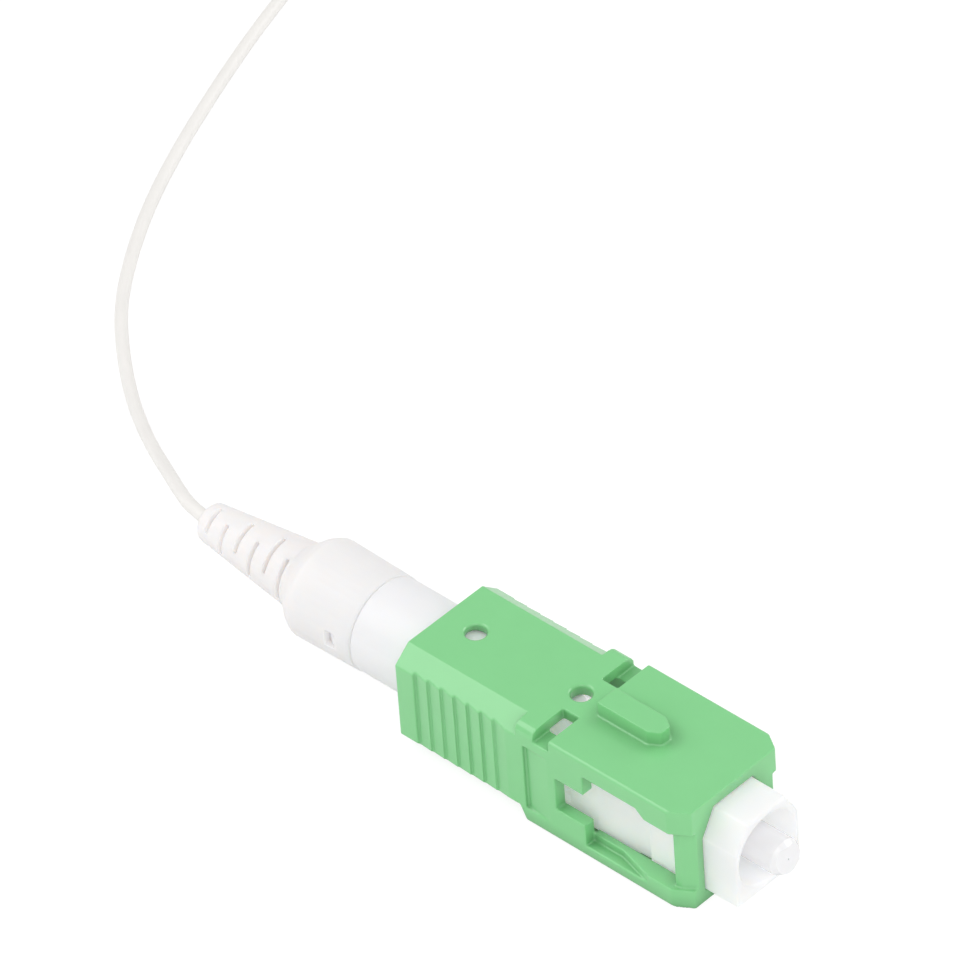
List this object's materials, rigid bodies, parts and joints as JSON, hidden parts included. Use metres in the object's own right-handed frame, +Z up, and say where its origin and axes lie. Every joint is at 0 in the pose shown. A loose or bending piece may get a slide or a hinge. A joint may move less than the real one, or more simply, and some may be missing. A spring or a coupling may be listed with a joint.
{
  "type": "sc fibre connector",
  "caption": "Square push-pull fibre connector with an angled ceramic ferrule, a keyed green grip, a slotted strain-relief boot and a buffered lead.",
  "frame": {"origin": "on the surface that the connector rests on, under the middle of its length from boot end to ferrule tip", "axes": "+X out of the ferrule along the optical axis, +Z up to the key, +Y to the left when looking along +X"},
  "size_m": [0.1085, 0.0679, 0.0088],
  "materials": {
    "green_plastic": "moulded mid-green plastic with a fine satin sheen",
    "white_plastic": "smooth cool-white moulded plastic",
    "ceramic": "polished white zirconia ceramic",
    "flange_metal": "nickel-plated turned brass",
    "glass_fibre": "bare silica fibre",
    "spring_steel": "bright drawn stainless wire",
    "clear_tube": "milky fluoropolymer tube",
    "crimp_metal": "plain drawn aluminium",
    "buffer_white": "smooth white buffer jacket",
    "ivory_boot": "soft ivory-white moulded elastomer"
  },
  "bodies": {
    "connector_core": {"plug_frame": "white_plastic", "rear_body": "white_plastic", "guide_tube": "clear_tube", "crimp_ring": "crimp_metal", "ferrule_spring": "spring_steel", "inner_buffer": "buffer_white", "boot": "ivory_boot", "lead": "buffer_white", "lead_coil": "buffer_white"},
    "grip": {"outer_housing": "green_plastic"},
    "ferrule_set": {"ferrule": "ceramic", "ferrule_flange": "flange_metal", "bare_fibre": "glass_fibre"}
  },
  "joints": [
    {"name": "grip_slide", "type": "slide", "parent": "connector_core", "child": "grip", "axis": [1, 0, 0], "range_m": [0, 0.002]},
    {"name": "ferrule_plunge", "type": "slide", "parent": "connector_core", "child": "ferrule_set", "axis": [-1, 0, 0], "range_m": [0, 0.001], "stiffness_N_per_m": 200, "deforming": ["ferrule_spring", "inner_buffer"]}
  ]
}
